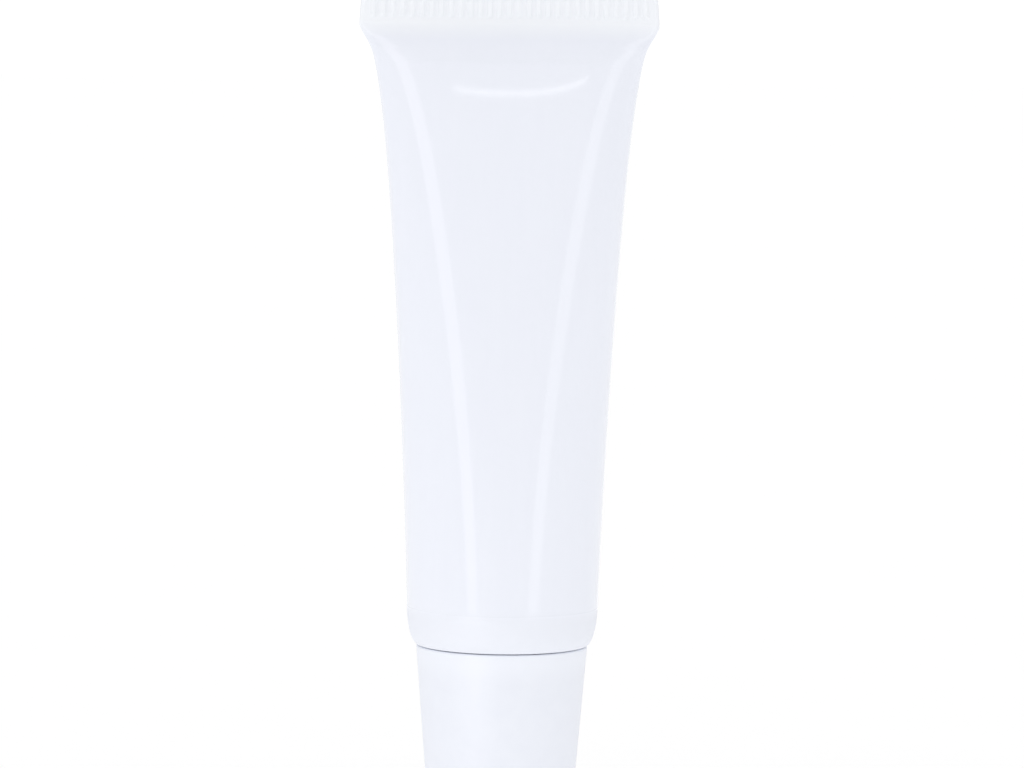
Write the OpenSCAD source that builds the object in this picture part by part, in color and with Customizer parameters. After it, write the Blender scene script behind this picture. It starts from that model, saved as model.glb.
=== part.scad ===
// Lip balm squeeze tube, standing on the closed end of its screw cap.
// Millimetres. Z is up along the tube, X runs along the flat seal, Y through the tube.
// The origin is the middle of the cap's closed end, on the surface the tube stands on.

/* [Sleeve] */
// Outer diameter of the round end of the sleeve
tube_d = 19; // [18:0.5:25]
// Height of the tube from its shoulder to the lower edge of the seal
tube_len = 61.5; // [50:0.25:85]
// Wall thickness of the sleeve
wall = 0.5; // [0.35:0.05:0.7]
// How far in the shoulder's rounded edge reaches
shoulder_r = 1.05; // [0.9:0.05:1.3]
// Height of the shoulder's rounded edge
shoulder_h = 3.6; // [2.4:0.1:3.6]

/* [Seal] */
// Height of the flat heat-pressed seal
seal_h = 5.7; // [4:0.1:8]
// Thickness of the seal over its ribs
seal_t = 1.2; // [0.95:0.05:1.4]
// Height of the plain band under the ribs
seal_band = 0.8; // [0.4:0.1:1.5]
// Distance from one rib to the next
rib_pitch = 0.96; // [0.7:0.02:1.4]
// Depth of the grooves between the ribs
rib_depth = 0.17; // [0.05:0.01:0.2]

/* [Cap] */
// Height of the cap
cap_h = 20; // [19:0.5:24]
// Diameter of the cap at its open rim
cap_rim_d = 17.1; // [16.6:0.1:17.4]
// Diameter of the cap at its closed end
cap_end_d = 13.84; // [13.4:0.02:15]
// Wall thickness of the cap's skirt
cap_wall = 1; // [0.8:0.05:1.2]
// Gap between the cap's rim and the shoulder
rim_gap = 0.1; // [0.1:0.05:0.4]

/* [Neck and nozzle] */
// Diameter of the neck at the root of its thread
neck_d = 8.6; // [8:0.1:8.8]
// Length of the threaded neck
neck_len = 7; // [6:0.1:8]
// Length of the neck and nozzle together
nozzle_len = 14; // [13:0.25:14.5]
// Slant of the nozzle's face from level
slant = 35; // [0:1:40]
// Diameter of the outlet hole
outlet_d = 2; // [1:0.1:2.6]

/* [Balm] */
// How far up the tube the balm reaches, as a share of its height
fill = 0.86; // [0.5:0.01:0.9]

/* [Hidden] */
$fn = 96;

z_face = cap_h + rim_gap;          // the shoulder's flat face
z_edge = z_face + 2;               // lower end of the sleeve's wall
z_skirt = z_face + 3.15;           // top of the head's skirt inside the sleeve
z_seal = z_face + tube_len;        // lower edge of the flat seal
z_top = z_seal + seal_h;           // top of the tube
tube_r = tube_d / 2;
round_per = PI * tube_d;           // every level of the sleeve has this perimeter
flat_w = round_per / 2 - 0.13;     // width once it is pressed flat
sides = 60;                        // points round a level of the sleeve
seal_core = seal_t / 2 - rib_depth; // half the seal's thickness between its ribs

// ---- shape of the sleeve: round at the shoulder, flat at the seal ----

function clamp01(x) = min(1, max(0, x));
function ease(x) = let(u = clamp01(x)) u * u * (3 - 2 * u);

// Share of the widening reached at share t of the height
function widen(t) =
    let(base = t * (0.347 + 0.304 * t + 0.227 * pow(t, 9.7)))
    base + 0.122 * pow(ease((t - 0.932) / 0.068), 2.3);

// Half-width of the sleeve's outside at share t
function half_w(t) = (tube_d + (flat_w - tube_d) * widen(clamp01(t))) / 2;

// Section exponent at share t: 2 is an ellipse, more is flatter across the front and tighter at the sides
function section_n(t) = 2 + 1.2 * pow(clamp01(t), 1.9) + 1.25 * ease((t - 0.935) / 0.035);

// Point of a section of half-width a, half-depth b and exponent n
function sup(c, n) = sign(c) * pow(abs(c), 2 / n);
function on_section(a, b, n, angle) = [a * sup(cos(angle), n), b * sup(sin(angle), n)];

// Its perimeter, from one quarter of it
function section_per(a, b, n) =
    let(p = [for (k = [0:24]) on_section(a, b, n, 90 * k / 24)])
    4 * [for (k = [0:23]) norm(p[k + 1] - p[k])] * [for (k = [0:23]) 1];

// Half-depth that keeps the perimeter, found by halving
function keep_per(a, n, lo, hi, left) =
    let(m = (lo + hi) / 2)
    left == 0 ? m : section_per(a, m, n) > round_per ? keep_per(a, n, lo, m, left - 1) : keep_per(a, n, m, hi, left - 1);

function round_d(t) = keep_per(half_w(t), section_n(t), 0.05, tube_r, 22);

// Half-depth at share t: the flank under the seal runs straight into it
function half_d(t) = t <= 0 ? tube_r :
    let(flank = seal_core + 5.55 * tube_r * (0.9983 - t), u = ease((t - 0.954) / 0.017))
    u <= 0 ? round_d(t) : max(seal_core, u >= 1 ? flank : round_d(t) * (1 - u) + flank * u);

// Heights of the levels as shares of the height: even below, closer under the seal
function level(i, n) = let(u = i / n) 1 - pow(1 - u, 1.9);

// One level at height z: the section of share t, drawn in by inset all round
function ring(t, inset, z) =
    let(a = half_w(t) - inset, b = half_d(t) - inset, n = section_n(t))
    [for (k = [0:sides - 1]) let(p = on_section(a, b, n, 360 * k / sides)) [p[0], p[1], z]];

// Height of share t
function z_at(t) = z_skirt + (z_seal - z_skirt) * t;

// Triangles between ring i and ring i + 1 of a stack of rings of m points
function band(i, m = sides) = [for (k = [0:m - 1])
    let(a = i * m + k, b = i * m + (k + 1) % m)
    each [[a, a + m, b], [b, a + m, b + m]]];

function flatten(rows) = [for (r = rows) each r];

// How far the shoulder's rounded edge is drawn in at height h over its flat face
function edge_in(h) = h >= shoulder_h ? 0 : shoulder_r * (1 - pow(1 - pow(1 - h / shoulder_h, 1.9), 1 / 1.9));

// ---- sleeve ----

out_n = 22;
in_n = 16;
in_top = 0.985;   // the two walls meet above this share of the height

module sleeve_body() {
    outer = concat(
        [for (h = [2, 2.5]) ring(0, edge_in(h), z_face + h)],
        [for (i = [0:out_n]) let(t = level(i, out_n)) ring(t, i == out_n ? 0.06 : 0, z_at(t))]);
    inner = concat(
        [for (i = [in_n:-1:0]) let(t = in_top * level(i, in_n)) ring(t, wall, z_at(t))],
        [ring(0, wall, z_edge)]);
    rings = concat(outer, inner);
    top = len(outer) - 1;
    last = len(rings) - 1;
    // from the outside's lower edge up, across the top, down the inside and back along the lower edge
    faces = concat(
        flatten([for (i = [0:top - 1]) band(i)]),
        [[for (k = [sides - 1:-1:0]) top * sides + k]],
        [[for (k = [0:sides - 1]) (top + 1) * sides + k]],
        flatten([for (i = [top + 1:last - 1]) band(i)]),
        [for (k = [0:sides - 1])
            let(a = last * sides + k, b = last * sides + (k + 1) % sides, c = k, d = (k + 1) % sides)
            each [[a, c, b], [b, c, d]]]);
    polyhedron(points = flatten(rings), faces = faces, convexity = 6);
}

// The seal: a flat bar with round ends that narrows a little towards its cut edge
function seal_end(s, w) = [for (a = [-90:30:90]) [s * (w / 2 - seal_core + seal_core * cos(a)), s * seal_core * sin(a)]];
function seal_ring(w, z) = [for (p = concat(seal_end(1, w), seal_end(-1, w))) [p[0], p[1], z]];

module seal_bar() {
    rings = [seal_ring(flat_w, z_seal - 0.3), seal_ring(flat_w, z_seal + 0.6),
             seal_ring(flat_w - 0.15 * (seal_h - 0.6), z_top)];
    m = len(rings[0]);
    polyhedron(points = flatten(rings), faces = concat(
        [[for (k = [0:m - 1]) k]], band(0, m), band(1, m), [[for (k = [m - 1:-1:0]) 2 * m + k]]), convexity = 2);
}

// Outline of the ribs, seen from above; the grooves' floor lies just inside the bar
ribs = floor((flat_w - 1.2 - 0.15 * (seal_h - 0.6)) / rib_pitch);
function rib_side(s) = [for (i = [0:ribs - 1]) let(x = (i - (ribs - 1) / 2) * rib_pitch, low = seal_core - 0.02)
    each [[x - rib_pitch * 0.32, s * low], [x - rib_pitch * 0.12, s * seal_t / 2],
          [x + rib_pitch * 0.12, s * seal_t / 2], [x + rib_pitch * 0.32, s * low]]];
function turned(p) = [for (i = [len(p) - 1:-1:0]) p[i]];

module seal_strip() {
    seal_bar();
    translate([0, 0, z_seal + seal_band]) linear_extrude(seal_h - seal_band)
        polygon(concat(turned(rib_side(1)), rib_side(-1)));
}

module tube_sleeve() {
    color([0.90, 0.91, 0.95]) union() {
        sleeve_body();
        seal_strip();
    }
}

// ---- head: shoulder, threaded neck and slanted nozzle, moulded in one ----

z_neck = z_face - neck_len;
z_tip = z_face - nozzle_len;
noz_r = neck_d / 2 - 0.4;          // nozzle at its root
tip_r = noz_r - 0.3;               // nozzle at its tip
bore_r = 2.2;

function arc(cx, cz, r, a0, a1, n) = [for (i = [0:n]) let(a = a0 + (a1 - a0) * i / n) [cx + r * cos(a), cz + r * sin(a)]];

module tube_head() {
    color([0.90, 0.91, 0.94]) difference() {
        rotate_extrude() polygon(concat(
            [[bore_r, z_neck - 0.2], [outlet_d / 2, z_neck - 1.4], [outlet_d / 2, z_tip], [tip_r - 0.4, z_tip]],
            arc(tip_r - 0.4, z_tip + 0.4, 0.4, -90, 0, 4),
            [[noz_r, z_neck - 0.3], [neck_d / 2 - 0.1, z_neck], [neck_d / 2, z_neck + 0.3], [neck_d / 2, z_face]],
            [for (h = [0, 0.03, 0.1, 0.2, 0.35, 0.55, 0.8, 1.1, 1.5, 2]) [tube_r - edge_in(h), z_face + h]],
            [[tube_r - wall - 0.02, z_edge], [tube_r - wall - 0.02, z_skirt], [tube_r - wall - 0.5, z_skirt],
             [tube_r - wall - 0.9, z_face + 2.2], [tube_r - wall - 1.7, z_face + 1.5], [bore_r + 0.8, z_face + 1.2],
             [bore_r, z_face + 0.6]]));
        // the slanted face, turned to the front
        translate([0, -tip_r, z_tip + 2 * tip_r * tan(slant)]) rotate([-slant, 0, 0])
            translate([-10, -10, -20]) cube([20, 40, 20]);
    }
}

// ---- balm: fills the head's funnel and the sleeve ----

module balm() {
    gap = 0.06;
    n = 12;
    rings = [for (i = [0:n]) let(t = fill * i / n) ring(t, wall + gap, z_at(t) + (i == 0 ? 0.05 : 0))];
    color([0.96, 0.93, 0.86]) union() {
        polyhedron(points = flatten(rings), faces = concat(
            [[for (k = [0:sides - 1]) k]],
            flatten([for (i = [0:n - 1]) band(i)]),
            [[for (k = [sides - 1:-1:0]) n * sides + k]]), convexity = 4);
        rotate_extrude() polygon([[0, z_neck + 0.3], [bore_r - gap, z_neck + 0.3], [bore_r - gap, z_face + 0.7],
            [bore_r + 0.75, z_face + 1.32], [tube_r - wall - 1.8, z_face + 1.62], [tube_r - wall - 1.0, z_face + 2.25],
            [tube_r - wall - 0.6, z_skirt + 0.1], [tube_r - wall - 0.6, z_skirt + 0.6], [0, z_skirt + 0.6]]);
    }
}

// ---- cap: tapered skirt, inner threaded ring and closed end, moulded in one ----

end_t = 1.5;                       // thickness of the closed end
ring_in = neck_d / 2 + 0.55;       // inner ring, at the root of its thread
ring_out = ring_in + 1.1;
z_ring = cap_h - 0.78;             // top of the inner ring, under the washer
end_r = 0.8;                       // rounded edge of the closed end
rim_r = 0.35;                      // rounded edge of the rim
slope = atan((cap_rim_d - cap_end_d) / 2 / cap_h);
z_pocket = 8;                      // floor of the space between ring and skirt

function skirt(z) = cap_end_d / 2 + (cap_rim_d - cap_end_d) / 2 * z / cap_h;

module cap() {
    end_c = end_r * (1 - sin(slope)) / cos(slope);
    rim_c = rim_r * (1 + sin(slope)) / cos(slope);
    color([0.90, 0.91, 0.94]) rotate_extrude() polygon(concat(
        [[0, 0]],
        arc(skirt(0) - end_c, end_r, end_r, -90, -slope, 7),
        arc(skirt(cap_h) - rim_c, cap_h - rim_r, rim_r, -slope, 90, 5),
        [[skirt(cap_h) - cap_wall, cap_h], [skirt(z_pocket) - cap_wall, z_pocket], [ring_out, z_pocket],
         [ring_out, z_ring], [ring_in, z_ring], [ring_in, end_t + 0.4], [ring_in - 0.4, end_t], [0, end_t]]));
}

// ---- washer between the cap's ring and the shoulder ----

module cap_liner() {
    color([0.86, 0.87, 0.88]) rotate_extrude() polygon([
        [ring_in + 0.1, z_ring + 0.02], [skirt(z_ring) - cap_wall - 0.08, z_ring + 0.02],
        [skirt(z_ring) - cap_wall - 0.08, z_face - 0.02], [ring_in + 0.1, z_face - 0.02]]);
}

tube_sleeve();
tube_head();
balm();
cap();
cap_liner();
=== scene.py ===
"""Looks of a white lip balm squeeze tube standing on its screw cap. Metres, Z up, the broad front faces -Y."""
import math

import bpy
import numpy as np
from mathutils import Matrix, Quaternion, Vector


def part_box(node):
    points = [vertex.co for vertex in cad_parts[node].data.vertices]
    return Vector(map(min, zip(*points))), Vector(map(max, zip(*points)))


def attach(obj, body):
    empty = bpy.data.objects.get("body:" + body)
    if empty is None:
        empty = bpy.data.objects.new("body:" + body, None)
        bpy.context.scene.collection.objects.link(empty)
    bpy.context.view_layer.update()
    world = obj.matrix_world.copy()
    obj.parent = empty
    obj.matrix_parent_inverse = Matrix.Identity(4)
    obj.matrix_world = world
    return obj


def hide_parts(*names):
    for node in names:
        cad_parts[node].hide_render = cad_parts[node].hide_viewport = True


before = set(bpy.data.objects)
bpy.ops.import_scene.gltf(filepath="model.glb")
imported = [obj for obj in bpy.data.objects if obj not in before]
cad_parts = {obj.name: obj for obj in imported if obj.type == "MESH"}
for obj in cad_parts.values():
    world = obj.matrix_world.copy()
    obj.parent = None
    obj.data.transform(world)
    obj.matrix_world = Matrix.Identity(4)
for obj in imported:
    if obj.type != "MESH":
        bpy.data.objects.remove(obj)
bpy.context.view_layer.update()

MM = 0.001

# ---------------------------------------------------------------- sizes, in millimetres, as in the construction
TUBE_R = 9.5
WALL = 0.5
CAP_H = 20.0
Z_FACE = CAP_H + 0.10          # the shoulder's flat face
Z_EDGE = Z_FACE + 2.0          # lower end of the sleeve
Z_SKIRT = Z_FACE + 3.15        # top of the head's skirt in the sleeve
Z_SEAL = Z_FACE + 61.5        # lower edge of the flat seal
Z_TOP = Z_SEAL + 5.7
FLAT_W = math.pi * TUBE_R - 0.13
SEAL_HALF = 0.43               # half the seal's thickness between its ribs
RIB_DEPTH = 0.17
RIB_PITCH = 0.96
SEAL_BAND = 0.8
NECK_R = 4.3
Z_NECK = Z_FACE - 7.0
Z_TIP = Z_FACE - 14.0
SLANT = math.radians(35)
RING_IN = NECK_R + 0.55
RING_OUT = RING_IN + 1.1
Z_RING = CAP_H - 0.78
PITCH = 3.0                    # lift of the thread in one turn


# ---------------------------------------------------------------- small helpers

def ease(x):
    u = np.clip(x, 0.0, 1.0)
    return u * u * (3 - 2 * u)


def make_object(name, verts_mm, faces, body, material, replaces=(), smooth=True):
    """A mesh object in the row frame from points in millimetres."""
    mesh = bpy.data.meshes.new(name)
    mesh.from_pydata((np.asarray(verts_mm, float) * MM).tolist(), [], faces)
    mesh.validate()
    mesh.update()
    if smooth:
        mesh.shade_smooth()
        mesh.set_sharp_from_angle(angle=math.radians(38))
    mesh.materials.append(material)
    ob = bpy.data.objects.new(name, mesh)
    bpy.context.scene.collection.objects.link(ob)
    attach(ob, body)
    if replaces:
        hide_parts(*replaces)
    return ob


def filleted(corners, steps=6):
    """A profile through corners (r, z, radius), each corner rounded to its radius. The first and last corner stay sharp."""
    pts = []
    n = len(corners)
    for i, (r, z, f) in enumerate(corners):
        p = np.array([r, z], float)
        if f <= 0 or i in (0, n - 1):
            pts.append(p)
            continue
        a = np.array(corners[i - 1][:2], float) - p
        b = np.array(corners[i + 1][:2], float) - p
        la, lb = np.linalg.norm(a), np.linalg.norm(b)
        a, b = a / la, b / lb
        half = math.acos(float(np.clip(a @ b, -1, 1))) / 2
        d = min(f / math.tan(half), 0.999 * la if i == 1 or corners[i - 1][2] <= 0 else 0.5 * la, 0.999 * lb if corners[i + 1][2] <= 0 else 0.5 * lb)
        rad = d * math.tan(half)
        bis = a + b
        c = p + bis / np.linalg.norm(bis) * math.hypot(d, rad)
        p0, p1 = p + a * d, p + b * d
        a0 = math.atan2(*(p0 - c)[::-1])
        a1 = math.atan2(*(p1 - c)[::-1])
        turn = (a1 - a0 + math.pi) % (2 * math.pi) - math.pi
        m = max(2, int(round(steps * abs(turn) / (math.pi / 2))))
        for k in range(m + 1):
            t = a0 + turn * k / m
            pts.append(c + rad * np.array([math.cos(t), math.sin(t)]))
    return pts


def refined(pts, step, where=None, fine=None):
    """Splits the profile's long segments to at most step, or fine where where(r, z) is true."""
    out = [pts[0]]
    for p, q in zip(pts[:-1], pts[1:]):
        length = float(np.linalg.norm(q - p))
        mid = (p + q) / 2
        s = fine if where is not None and where(*mid) else step
        k = max(1, int(math.ceil(length / s)))
        out += [p + (q - p) * i / k for i in range(1, k + 1)]
    return out


def revolve(profile, seg, closed, shape=None):
    """Points and faces of a profile (r, z) turned about Z. closed joins its end to its start; otherwise both ends lie on the axis. shape(xyz, phi) may move the points."""
    prof = np.array(profile, float)
    phi = np.arange(seg) * 2 * math.pi / seg
    axis_ends = not closed
    rows = prof[1:-1] if axis_ends else prof
    m = len(rows)
    r, z = rows[:, 0][:, None], rows[:, 1][:, None]
    grid = np.stack([r * np.cos(phi), r * np.sin(phi), np.broadcast_to(z, (m, seg))], -1)
    if shape is not None:
        grid = shape(grid, np.broadcast_to(phi, (m, seg)))
    verts = grid.reshape(-1, 3).tolist()
    faces = []
    last = m if closed else m - 1
    for i in range(last):
        a0, b0 = i * seg, ((i + 1) % m) * seg
        for j in range(seg):
            k = (j + 1) % seg
            faces.append((a0 + j, a0 + k, b0 + k, b0 + j))
    if axis_ends:
        s, e = len(verts), len(verts) + 1
        verts += [[0, 0, prof[0][1]], [0, 0, prof[-1][1]]]
        for j in range(seg):
            k = (j + 1) % seg
            faces.append((s, k, j))
            faces.append((e, (m - 1) * seg + j, (m - 1) * seg + k))
    return np.array(verts), faces


# ---------------------------------------------------------------- materials

def new_material(name):
    m = bpy.data.materials.new(name)
    m.use_nodes = True
    nt = m.node_tree
    nt.nodes.clear()
    out = nt.nodes.new("ShaderNodeOutputMaterial")
    bsdf = nt.nodes.new("ShaderNodeBsdfPrincipled")
    nt.links.new(bsdf.outputs[0], out.inputs[0])
    return m, nt, bsdf


def coords(nt, scale):
    tc = nt.nodes.new("ShaderNodeTexCoord")
    mp = nt.nodes.new("ShaderNodeMapping")
    mp.inputs["Scale"].default_value = scale
    nt.links.new(tc.outputs["Object"], mp.inputs["Vector"])
    return mp.outputs["Vector"]


def noise_tex(nt, vector, scale, detail=2.0, rough=0.5, distortion=0.0):
    n = nt.nodes.new("ShaderNodeTexNoise")
    n.inputs["Scale"].default_value = scale
    n.inputs["Detail"].default_value = detail
    n.inputs["Roughness"].default_value = rough
    n.inputs["Distortion"].default_value = distortion
    nt.links.new(vector, n.inputs["Vector"])
    return n.outputs["Fac"]


def remap(nt, value, a0, a1, b0, b1):
    n = nt.nodes.new("ShaderNodeMapRange")
    n.inputs["From Min"].default_value = a0
    n.inputs["From Max"].default_value = a1
    n.inputs["To Min"].default_value = b0
    n.inputs["To Max"].default_value = b1
    nt.links.new(value, n.inputs["Value"])
    return n.outputs["Result"]


def mix_colour(nt, fac, a, b):
    n = nt.nodes.new("ShaderNodeMix")
    n.data_type = "RGBA"
    nt.links.new(fac, n.inputs[0])
    for socket, v in ((n.inputs[6], a), (n.inputs[7], b)):
        if isinstance(v, tuple):
            socket.default_value = (*v, 1.0)
        else:
            nt.links.new(v, socket)
    return n.outputs[2]


def add_values(nt, a, b, ka=1.0, kb=1.0):
    m1 = nt.nodes.new("ShaderNodeMath"); m1.operation = "MULTIPLY"
    nt.links.new(a, m1.inputs[0]); m1.inputs[1].default_value = ka
    m2 = nt.nodes.new("ShaderNodeMath"); m2.operation = "MULTIPLY_ADD"
    nt.links.new(b, m2.inputs[0]); m2.inputs[1].default_value = kb
    nt.links.new(m1.outputs[0], m2.inputs[2])
    return m2.outputs[0]


def bump(nt, bsdf, height, distance, strength=1.0):
    b = nt.nodes.new("ShaderNodeBump")
    b.inputs["Strength"].default_value = strength
    b.inputs["Distance"].default_value = distance
    nt.links.new(height, b.inputs["Height"])
    nt.links.new(b.outputs["Normal"], bsdf.inputs["Normal"])


def sleeve_material():
    """Glossy polyethylene: bluish white, faint lines along the extrusion, an orange-peel surface, duller over the
    double wall where it is welded to the head's skirt; its colour there is darker, a painted shade, and the pressed
    seal is paler, a painted light.
    """
    m, nt, p = new_material("sleeve_gloss_polyethylene")
    lines = noise_tex(nt, coords(nt, (1.0, 1.0, 0.06)), 900, 3, 0.6)
    clouds = noise_tex(nt, coords(nt, (1.0, 1.0, 0.7)), 160, 2, 0.5)
    peel = noise_tex(nt, coords(nt, (1.0, 1.0, 0.8)), 1500, 2, 0.5)
    tone = add_values(nt, lines, clouds, 0.5, 0.5)
    body = mix_colour(nt, remap(nt, tone, 0.3, 0.7, 0.0, 1.0), (0.875, 0.898, 0.975), (0.889, 0.912, 0.987))
    tc = nt.nodes.new("ShaderNodeTexCoord")
    xyz = nt.nodes.new("ShaderNodeSeparateXYZ")
    nt.links.new(tc.outputs["Object"], xyz.inputs[0])
    # painted shade: over the sleeve's lowest part the colour is darker; the surface there is also duller
    low = remap(nt, xyz.outputs[2], 0.0229, 0.0245, 1.0, 0.0)
    # painted light: the flat seal is given a paler colour to make it look brighter
    seal_painted_light = remap(nt, xyz.outputs[2], 0.0803, 0.0820, 0.0, 1.0)
    colour = mix_colour(nt, seal_painted_light, mix_colour(nt, low, body, (0.868, 0.891, 0.960)), (0.936, 0.958, 1.0))
    nt.links.new(colour, p.inputs["Base Color"])
    nt.links.new(add_values(nt, remap(nt, clouds, 0.3, 0.7, 0.075, 0.095), low, 1.0, 0.47), p.inputs["Roughness"])
    p.inputs["IOR"].default_value = 1.5
    p.inputs["Specular IOR Level"].default_value = 0.5
    bump(nt, p, add_values(nt, peel, lines, 0.6, 0.6), 0.0000015, 0.6)
    return m


def head_material():
    """The moulded head: the same plastic, a little less glossy, with faint flow marks."""
    m, nt, p = new_material("head_moulded_polyethylene")
    flow = noise_tex(nt, coords(nt, (1.0, 1.0, 1.6)), 420, 3, 0.55, 0.6)
    fine = noise_tex(nt, coords(nt, (1.0, 1.0, 1.0)), 2600, 2, 0.5)
    nt.links.new(mix_colour(nt, remap(nt, flow, 0.3, 0.7, 0.0, 1.0), (0.862, 0.885, 0.954), (0.874, 0.897, 0.966)), p.inputs["Base Color"])
    nt.links.new(remap(nt, flow, 0.3, 0.7, 0.52, 0.58), p.inputs["Roughness"])
    p.inputs["IOR"].default_value = 1.5
    bump(nt, p, add_values(nt, fine, flow, 0.5, 0.5), 0.000005, 0.5)
    return m


def cap_material():
    """The moulded cap: satin polypropylene with a fine mottled skin; towards its top rim it is paler, a painted
    highlight.
    """
    m, nt, p = new_material("cap_satin_polypropylene")
    mottle = noise_tex(nt, coords(nt, (1.0, 1.0, 1.0)), 520, 3, 0.6, 0.3)
    grain = noise_tex(nt, coords(nt, (1.0, 1.0, 1.0)), 4200, 2, 0.6)
    body = mix_colour(nt, remap(nt, mottle, 0.3, 0.7, 0.0, 1.0), (0.854, 0.877, 0.948), (0.872, 0.895, 0.962))
    tc = nt.nodes.new("ShaderNodeTexCoord")
    xyz = nt.nodes.new("ShaderNodeSeparateXYZ")
    nt.links.new(tc.outputs["Object"], xyz.inputs[0])
    # painted highlight: the cap is coloured paler over its top 3 mm, near the rim
    rim_painted_highlight = remap(nt, xyz.outputs[2], 0.0170, 0.0190, 0.0, 1.0)
    nt.links.new(mix_colour(nt, rim_painted_highlight, body, (0.893, 0.917, 0.985)), p.inputs["Base Color"])
    nt.links.new(remap(nt, mottle, 0.3, 0.7, 0.41, 0.47), p.inputs["Roughness"])
    p.inputs["IOR"].default_value = 1.5
    bump(nt, p, add_values(nt, grain, mottle, 0.7, 0.4), 0.000008, 0.6)
    return m


def liner_material():
    """Foamed washer: pale grey, fine closed cells."""
    m, nt, p = new_material("liner_foam")
    v = nt.nodes.new("ShaderNodeTexVoronoi")
    v.inputs["Scale"].default_value = 5200
    nt.links.new(coords(nt, (1.0, 1.0, 1.0)), v.inputs["Vector"])
    soft = noise_tex(nt, coords(nt, (1.0, 1.0, 1.0)), 700, 2, 0.5)
    nt.links.new(mix_colour(nt, remap(nt, v.outputs["Distance"], 0.0, 0.7, 0.0, 1.0), (0.74, 0.76, 0.79), (0.84, 0.86, 0.88)), p.inputs["Base Color"])
    nt.links.new(remap(nt, soft, 0.3, 0.7, 0.7, 0.85), p.inputs["Roughness"])
    bump(nt, p, v.outputs["Distance"], 0.00003, 0.6)
    return m


def balm_material():
    """The balm: pale waxy paste."""
    m, nt, p = new_material("balm_wax")
    swirl = noise_tex(nt, coords(nt, (1.0, 1.0, 0.5)), 260, 3, 0.55, 1.2)
    nt.links.new(mix_colour(nt, remap(nt, swirl, 0.3, 0.7, 0.0, 1.0), (0.90, 0.86, 0.74), (0.94, 0.91, 0.82)), p.inputs["Base Color"])
    nt.links.new(remap(nt, swirl, 0.3, 0.7, 0.35, 0.5), p.inputs["Roughness"])
    p.inputs["Subsurface Weight"].default_value = 0.3
    p.inputs["Subsurface Radius"].default_value = (1.0, 0.8, 0.5)
    p.inputs["Subsurface Scale"].default_value = 0.001
    bump(nt, p, swirl, 0.00003, 0.5)
    return m


MAT = {
    "sleeve": sleeve_material(),
    "head": head_material(),
    "cap": cap_material(),
    "liner": liner_material(),
    "balm": balm_material(),
}

# ---------------------------------------------------------------- sleeve and seal

def widen(t):
    return t * (0.347 + 0.304 * t + 0.227 * t ** 9.7) + 0.122 * ease((t - 0.932) / 0.068) ** 2.3


def half_w(t):
    return (2 * TUBE_R + (FLAT_W - 2 * TUBE_R) * widen(np.clip(t, 0, 1))) / 2


def section_n(t):
    return 2 + 1.2 * np.clip(t, 0, 1) ** 1.9 + 1.25 * ease((t - 0.935) / 0.035)


QUARTER = 128                   # points along a quarter of a level
_k = np.linspace(0, 1, 481)
_ang = (_k - np.sin(2 * np.pi * _k) / (2 * np.pi) * 0.85) * (np.pi / 2)   # closer at both ends of the quarter


def quarter_curve(a, b, n):
    """From the side (a, 0) to the front (0, b), as a fine polyline."""
    x = a * np.abs(np.cos(_ang)) ** (2 / n)
    y = b * np.abs(np.sin(_ang)) ** (2 / n)
    x[-1] = 0.0
    y[0] = 0.0
    return x, y


def quarter_length(a, b, n):
    x, y = quarter_curve(a, b, n)
    return np.hypot(np.diff(x), np.diff(y)).sum()


def round_d(t):
    """Half-depth that keeps the sleeve's perimeter."""
    a, n = float(half_w(t)), float(section_n(t))
    lo, hi = 0.02, TUBE_R
    for _ in range(26):
        mid = (lo + hi) / 2
        if 4 * quarter_length(a, mid, n) > 2 * math.pi * TUBE_R:
            hi = mid
        else:
            lo = mid
    return (lo + hi) / 2


def half_d(t):
    """Half-depth at share t: the flank under the seal runs straight into it."""
    if t <= 0:
        return TUBE_R
    flank = SEAL_HALF + 5.55 * TUBE_R * (0.9983 - t)
    u = float(ease((t - 0.954) / 0.017))
    return flank if u >= 1 else round_d(t) * (1 - u) + flank * u


def even_points(x, y, count):
    """count + 1 points evenly along a polyline."""
    s = np.concatenate([[0], np.cumsum(np.hypot(np.diff(x), np.diff(y)))])
    u = np.linspace(0, s[-1], count + 1)
    return np.interp(u, s, x), np.interp(u, s, y)


def stadium_quarter(a, b):
    """Quarter of a flat bar with round ends."""
    ang = np.linspace(0, np.pi / 2, 60)
    return (np.concatenate([a - b + b * np.cos(ang), [0.0]]), np.concatenate([b * np.sin(ang), [b]]))


def full_ring(xq, yq):
    """A whole level, counter-clockwise from +X, from the points of its first quarter."""
    q = len(xq) - 1
    x = np.concatenate([xq[:q], -xq[::-1][:q], -xq[:q], xq[::-1][:q]])
    y = np.concatenate([yq[:q], yq[::-1][:q], -yq[:q], -yq[::-1][:q]])
    return x, y


def soft_max(a, b, k):
    h = max(k - abs(a - b), 0.0) / k
    return max(a, b) + h * h * k * 0.25


def edge_in(h):
    """How far the shoulder's rounded edge is drawn in at height h over its flat face."""
    return 1.05 * (1 - (1 - (1 - min(h, 3.6) / 3.6) ** 1.9) ** (1 / 1.9))


def seal_taper(z):
    """The seal narrows a little towards its cut edge."""
    return 0.075 * max(0.0, z - Z_SEAL - 0.6)


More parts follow.
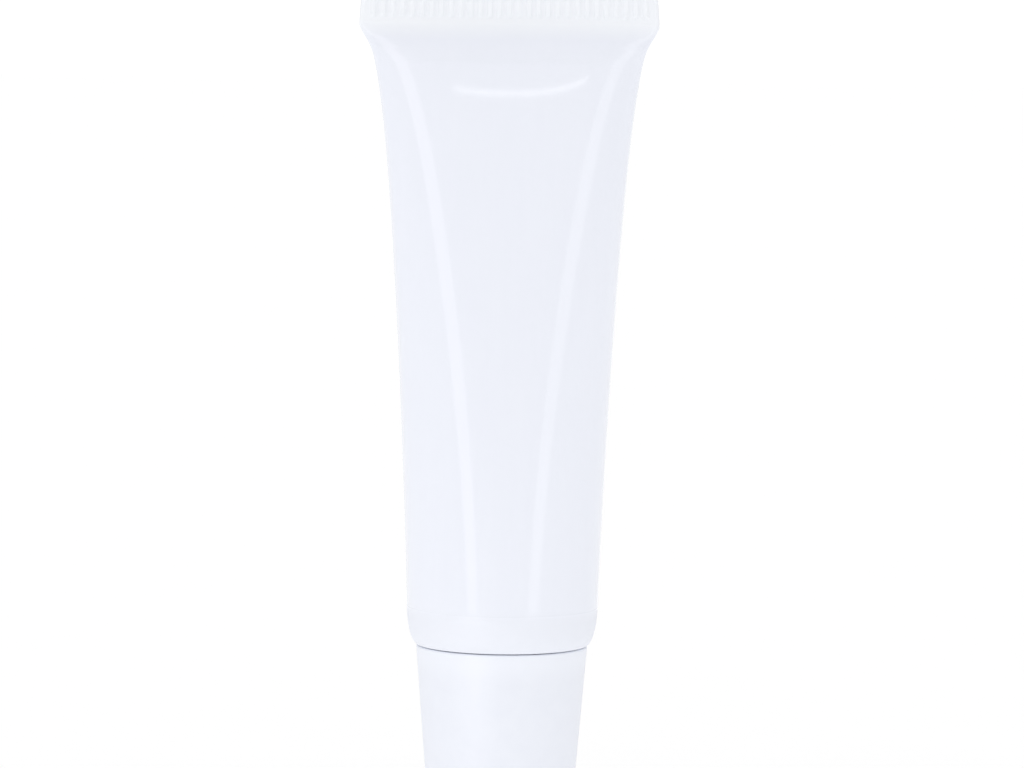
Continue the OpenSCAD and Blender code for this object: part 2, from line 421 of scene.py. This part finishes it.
def outer_level(z):
    """Points of the outside at height z."""
    t = (z - Z_SKIRT) / (Z_SEAL - Z_SKIRT)
    flat = float(ease((z - (Z_SEAL - 1.0)) / 1.2))       # 0 on the body, 1 on the seal
    tt = min(max(t, 0.0), 1.0)
    a = float(half_w(tt)) - seal_taper(z)
    b = soft_max(half_d(t), SEAL_HALF, 0.7) if t > 0.9 else half_d(t)
    drawn = 1 - edge_in(z - Z_FACE) / TUBE_R
    xs, ys = even_points(*quarter_curve(a * drawn, b * drawn, float(section_n(tt))), QUARTER)
    if flat > 0:
        xf, yf = even_points(*stadium_quarter(a, min(b, a)), QUARTER)
        xs, ys = xs * (1 - flat) + xf * flat, ys * (1 - flat) + yf * flat
    return full_ring(xs, ys)


def rib_profile(x):
    """1 on a rib's crest, 0 in the groove, with rounded edges."""
    c = np.cos(2 * np.pi * x / RIB_PITCH)
    return ease((c + 0.55) / 1.25)


def build_sleeve():
    n = 4 * QUARTER
    zs = np.concatenate([
        np.array([Z_EDGE, Z_EDGE + 0.05, Z_EDGE + 0.2, Z_EDGE + 0.45, Z_EDGE + 0.7, Z_SKIRT - 0.2, Z_SKIRT, Z_SKIRT + 0.2, Z_SKIRT + 0.45, Z_SKIRT + 0.8]),
        np.linspace(Z_SKIRT + 1.4, 74.5, 50),
        np.linspace(75.0, 79.5, 26),
        np.linspace(79.62, Z_SEAL + SEAL_BAND + 0.45, 30),
        np.linspace(Z_SEAL + SEAL_BAND + 0.8, Z_TOP - 0.3, 10),
        np.array([Z_TOP - 0.1, Z_TOP - 0.03]),
    ])
    rings = []
    for z in zs:
        x, y = outer_level(z)
        p = np.stack([x, y, np.full(n, z)], -1)
        # ribs pressed into both faces of the seal
        up = float(ease((z - (Z_SEAL + SEAL_BAND - 0.1)) / 0.5))
        if up > 0:
            side = ease((FLAT_W / 2 - 0.55 - np.abs(x)) / 0.35)
            p[:, 1] += np.sign(y) * RIB_DEPTH * rib_profile(x) * up * side
        rings.append(p)
    # the cut edge, slightly rounded
    edge = rings[-1].copy()
    edge[:, 2] = Z_TOP
    edge[:, 1] *= 0.9
    edge[:, 0] *= 1 - 0.06 / 15
    rings.append(edge)
    outer = np.stack(rings)

    zin = np.concatenate([np.array([Z_EDGE, Z_SKIRT]), np.linspace(Z_SKIRT + 4, 77.5, 12), np.linspace(78.3, 80.5, 6)])
    inner = []
    for z in zin:
        t = max(0.0, (z - Z_SKIRT) / (Z_SEAL - Z_SKIRT))
        a, b = float(half_w(t)) - WALL, half_d(t) - WALL
        xs, ys = even_points(*quarter_curve(a, max(b, 0.05), float(section_n(t))), QUARTER)
        x, y = full_ring(xs, ys)
        inner.append(np.stack([x, y, np.full(n, z)], -1))
    inner = np.stack(inner)

    no, ni = len(outer), len(inner)
    verts = np.concatenate([outer.reshape(-1, 3), inner.reshape(-1, 3)])
    j = np.arange(n)
    k = (j + 1) % n
    faces = []
    for i in range(no - 1):
        a, b = i * n, (i + 1) * n
        faces += np.stack([a + j, a + k, b + k, b + j], -1).tolist()
    base = no * n
    for i in range(ni - 1):
        a, b = base + i * n, base + (i + 1) * n
        faces += np.stack([a + j, b + j, b + k, a + k], -1).tolist()
    faces += np.stack([j, base + j, base + k, k], -1).tolist()          # lower edge of the wall
    half = n // 2
    top = (no - 1) * n
    for i in range(half):                                                # the cut edge, and the slit where the walls meet
        if i == 0:
            faces.append((top, top + 1, top + n - 1))
        elif i == half - 1:
            faces.append((top + i, top + half, top + n - i))
        else:
            faces.append((top + i, top + i + 1, top + n - i - 1, top + n - i))
    tip = base + (ni - 1) * n
    for i in range(half):
        if i == 0:
            faces.append((tip, tip + n - 1, tip + 1))
        elif i == half - 1:
            faces.append((tip + i, tip + n - i, tip + half))
        else:
            faces.append((tip + i, tip + n - i, tip + n - i - 1, tip + i + 1))
    return make_object("sleeve_and_seal", verts, faces, "tube", MAT["sleeve"], ("tube_sleeve",))


# ---------------------------------------------------------------- thread, shared by the neck and the cap's ring

def thread_height(z, phi, start, low, high, full=0.30, base=0.66):
    """Height, from 0 to 1, of a right-hand thread's ridge at height z and angle phi; it runs from low to high and fades in at each end."""
    d = (z - start - PITCH * phi / (2 * np.pi) + PITCH / 2) % PITCH - PITCH / 2
    ridge = ease((base - np.abs(d)) / (base - full))
    centre = z - d
    return ridge * ease((centre - low) / 0.4) * ease((high - centre) / 0.4)


# ---------------------------------------------------------------- head

def build_head():
    heights = [0.0, 0.01, 0.03, 0.07, 0.12, 0.18, 0.25, 0.34, 0.45, 0.58, 0.72, 0.88, 1.05, 1.25, 1.45, 1.65, 1.85, 1.95]
    edge = [(TUBE_R - edge_in(h), Z_FACE + h, 0) for h in heights]
    prof = filleted([
        (1.0, Z_TIP + 3.0, 0), (1.0, Z_TIP, 0.14), (NECK_R - 0.7, Z_TIP, 0.45), (NECK_R - 0.4, Z_NECK - 0.3, 0.1),
        (NECK_R - 0.1, Z_NECK, 0.12), (NECK_R, Z_NECK + 0.3, 0.1), (NECK_R, Z_FACE, 0.2), *edge, (TUBE_R - edge_in(2.0), Z_EDGE, 0), (TUBE_R - WALL - 0.02, Z_EDGE, 0), (TUBE_R - WALL - 0.02, Z_SKIRT, 0.08),
        (TUBE_R - WALL - 0.5, Z_SKIRT, 0.08), (TUBE_R - WALL - 0.9, Z_FACE + 2.2, 0.3), (TUBE_R - WALL - 1.7, Z_FACE + 1.5, 0.3),
        (3.0, Z_FACE + 1.2, 0.4), (2.2, Z_FACE + 0.6, 0.3), (2.2, Z_NECK - 0.2, 0.3), (1.0, Z_NECK - 1.4, 0.3), (1.0, Z_TIP + 3.05, 0),
    ])
    prof = refined(prof, 0.8, lambda r, z: abs(r - NECK_R) < 0.02 or z < Z_NECK, 0.12)

    def shape(g, phi):
        x, y, z = g[..., 0].copy(), g[..., 1].copy(), g[..., 2].copy()
        r = np.hypot(x, y)
        # thread on the neck
        on = (np.abs(r - NECK_R) < 0.03) & (z > Z_NECK + 0.4) & (z < Z_FACE - 0.2)
        h = np.where(on, 0.40 * thread_height(z, phi, 15.0, 14.3, 19.0), 0.0)
        x, y = x * (1 + h / r), y * (1 + h / r)
        # the nozzle's slanted face, high at the front
        top = Z_NECK - 0.35
        flat = Z_TIP + 0.8
        w = np.clip((top - z) / (top - flat), 0, 1)
        tilt = (NECK_R - 0.7 - y) * math.tan(SLANT)
        return np.stack([x, y, z + w * tilt], -1)

    v, f = revolve(prof[:-1], 192, True, shape)
    return make_object("head_and_nozzle", v, f, "tube", MAT["head"], ("tube_head",))


# ---------------------------------------------------------------- cap

def build_cap():
    r0, r1 = 13.84 / 2, 17.1 / 2
    inner = lambda z: r0 + (r1 - r0) * z / CAP_H - 1.0
    prof = filleted([
        (0, 0, 0), (r0, 0, 0.8), (r1, CAP_H, 0.2), (inner(CAP_H), CAP_H, 0.15), (inner(8), 8, 0.25), (RING_OUT, 8, 0.25),
        (RING_OUT, Z_RING, 0.15), (RING_IN, Z_RING, 0.2), (RING_IN, 1.5, 0.45), (0, 1.5, 0),
    ])
    prof = refined(prof, 1.0, lambda r, z: abs(r - RING_IN) < 0.02 and z > 12.5, 0.12)

    def shape(g, phi):
        x, y, z = g[..., 0].copy(), g[..., 1].copy(), g[..., 2]
        r = np.maximum(np.hypot(x, y), 1e-6)
        on = (np.abs(r - RING_IN) < 0.03) & (z > 12.8) & (z < Z_RING - 0.25)
        h = np.where(on, 0.38 * thread_height(z, phi, 15.0 + PITCH / 2, 13.9, 18.3), 0.0)
        return np.stack([x * (1 - h / r), y * (1 - h / r), z], -1)

    v, f = revolve(prof, 192, False, shape)
    return make_object("screw_cap", v, f, "cap", MAT["cap"], ("cap",))


def build_liner():
    lo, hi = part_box("cap_liner")
    r_out = hi.x / MM
    z0, z1 = lo.z / MM, hi.z / MM
    r_in = RING_IN + 0.1
    mid = (r_in + r_out) / 2
    prof = filleted([(mid, z0, 0), (r_out, z0, 0.1), (r_out, z1, 0.12), (r_in, z1, 0.12), (r_in, z0, 0.1), (mid - 0.05, z0, 0)], 4)
    prof = refined(prof, 0.3)
    v, f = revolve(prof[::-1], 128, True)
    return make_object("sealing_washer", v, f, "liner", MAT["liner"], ("cap_liner",))


build_sleeve()
build_head()
build_cap()
build_liner()

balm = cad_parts["balm"]
balm.data.materials.clear()
balm.data.materials.append(MAT["balm"])

# ---------------------------------------------------------------- floor, light and camera

def add_floor():
    m, nt, p = new_material("floor_white")
    p.inputs["Base Color"].default_value = (0.93, 0.93, 0.93, 1)
    p.inputs["Roughness"].default_value = 0.9
    p.inputs["Specular IOR Level"].default_value = 0.0
    grain = noise_tex(nt, coords(nt, (1.0, 1.0, 1.0)), 60, 2, 0.5)
    nt.links.new(mix_colour(nt, grain, (0.925, 0.925, 0.925), (0.935, 0.935, 0.935)), p.inputs["Base Color"])
    p.inputs["Emission Color"].default_value = (1, 1, 1, 1)
    p.inputs["Emission Strength"].default_value = 0.20
    geo = nt.nodes.new("ShaderNodeNewGeometry")
    clear = nt.nodes.new("ShaderNodeBsdfTransparent")
    mix = nt.nodes.new("ShaderNodeMixShader")
    out = next(n for n in nt.nodes if n.type == "OUTPUT_MATERIAL")
    nt.links.new(geo.outputs["Backfacing"], mix.inputs[0])
    nt.links.new(p.outputs[0], mix.inputs[1])
    nt.links.new(clear.outputs[0], mix.inputs[2])
    nt.links.new(mix.outputs[0], out.inputs[0])
    mesh = bpy.data.meshes.new("floor")
    s = 3.0
    mesh.from_pydata([(-s, -s, -2e-5), (s, -s, -2e-5), (s, s, -2e-5), (-s, s, -2e-5)], [], [(0, 1, 2, 3)])
    mesh.materials.append(m)
    ob = bpy.data.objects.new("floor", mesh)
    bpy.context.scene.collection.objects.link(ob)


def area_light(name, where, aim, width, height, radiance, colour=(1, 1, 1)):
    data = bpy.data.lights.new(name, "AREA")
    data.shape = "RECTANGLE"
    data.size, data.size_y = width, height
    data.energy = radiance * math.pi * width * height
    data.color = colour
    ob = bpy.data.objects.new(name, data)
    ob.location = where
    ob.rotation_mode = "QUATERNION"
    ob.rotation_quaternion = (Vector(aim) - Vector(where)).to_track_quat("-Z", "Y")
    ob.visible_camera = False
    ob.visible_diffuse = False      # only for gloss: the soft light comes from all round
    bpy.context.scene.collection.objects.link(ob)
    return ob


def around(azimuth, distance, z):
    """A point round the object: azimuth 0 is in front of it, positive to the right of the picture."""
    a = math.radians(azimuth)
    return Vector((math.sin(a) * distance, -math.cos(a) * distance, z))


def add_light():
    world = bpy.data.worlds.new("studio")
    bpy.context.scene.world = world
    world.use_nodes = True
    nt = world.node_tree
    nt.nodes.clear()
    out = nt.nodes.new("ShaderNodeOutputWorld")
    soft = nt.nodes.new("ShaderNodeBackground")
    white = nt.nodes.new("ShaderNodeBackground")
    mix = nt.nodes.new("ShaderNodeMixShader")
    path = nt.nodes.new("ShaderNodeLightPath")
    tc = nt.nodes.new("ShaderNodeTexCoord")
    xyz = nt.nodes.new("ShaderNodeSeparateXYZ")
    nt.links.new(tc.outputs["Generated"], xyz.inputs[0])
    side = remap(nt, xyz.outputs[0], -1.0, 1.0, 1.022, 0.842)
    behind = remap(nt, xyz.outputs[1], 0.1, 0.9, 0.0, 0.33)
    more = nt.nodes.new("ShaderNodeMath"); more.operation = "MULTIPLY"     # darkest behind and to the left
    nt.links.new(behind, more.inputs[0])
    nt.links.new(remap(nt, xyz.outputs[0], -0.5, 0.5, 1.5, 0.5), more.inputs[1])
    nt.links.new(add_values(nt, side, more.outputs[0], 1.0, -1.0), soft.inputs["Strength"])
    soft.inputs["Color"].default_value = (1, 1, 1, 1)
    white.inputs["Color"].default_value = (1, 1, 1, 1)
    white.inputs["Strength"].default_value = 1.1
    nt.links.new(path.outputs["Is Camera Ray"], mix.inputs[0])
    nt.links.new(soft.outputs[0], mix.inputs[1])
    nt.links.new(white.outputs[0], mix.inputs[2])
    nt.links.new(mix.outputs[0], out.inputs[0])

    centre = (0, 0, 0.05)
    # two tall strips close to the tube, a thin bar above the camera, and a low strip for the cap
    area_light("strip_left", around(-34.6, 0.178, 0.2596), around(0, 0, 0.2596), 0.038, 0.5, 1.05, (1.0, 0.93, 1.0))
    area_light("strip_right", around(36.4, 0.178, 0.2596), around(0, 0, 0.2596), 0.038, 0.5, 0.90)
    area_light("top_bar", around(4, 0.62, 0.375), centre, 0.27, 0.022, 2.2)
    low = area_light("low_left", around(-34.6, 0.09, 0.0005), around(-34.6, 0.09, 1.0), 0.030, 0.10, 2.2, (1.0, 0.93, 1.0))
    low.rotation_quaternion = Quaternion((0, 0, 1), math.radians(-34.6)) @ Quaternion((1, 0, 0), math.pi)
    # a small soft light on the cap's front, for its matt part only
    cap_fill = area_light("cap_fill", around(-20, 0.055, 0.009), around(-20, 0.0, -0.017), 0.03, 0.012, 0.50)
    cap_fill.visible_diffuse = True
    cap_fill.visible_glossy = False


def add_camera():
    data = bpy.data.cameras.new("camera")
    data.sensor_width = 36.0
    distance = 0.55
    data.lens = 10.05 * 36.0 * distance * 1000 / 1024
    data.clip_start, data.clip_end = 0.01, 20.0
    cam = bpy.data.objects.new("camera", data)
    bpy.context.scene.collection.objects.link(cam)
    e = math.radians(4.6)
    aim = Vector((0.0007, 0.0, 0.04612))
    cam.location = aim + distance * Vector((0, -math.cos(e), math.sin(e)))
    cam.rotation_mode = "QUATERNION"
    cam.rotation_quaternion = (aim - cam.location).to_track_quat("-Z", "Y") @ Quaternion((0, 0, 1), math.radians(0.72))
    bpy.context.scene.camera = cam


add_floor()
add_light()
add_camera()
view = bpy.context.scene.view_settings
view.view_transform = "Standard"
view.look = "None"
view.exposure = 0.0
view.gamma = 1.0
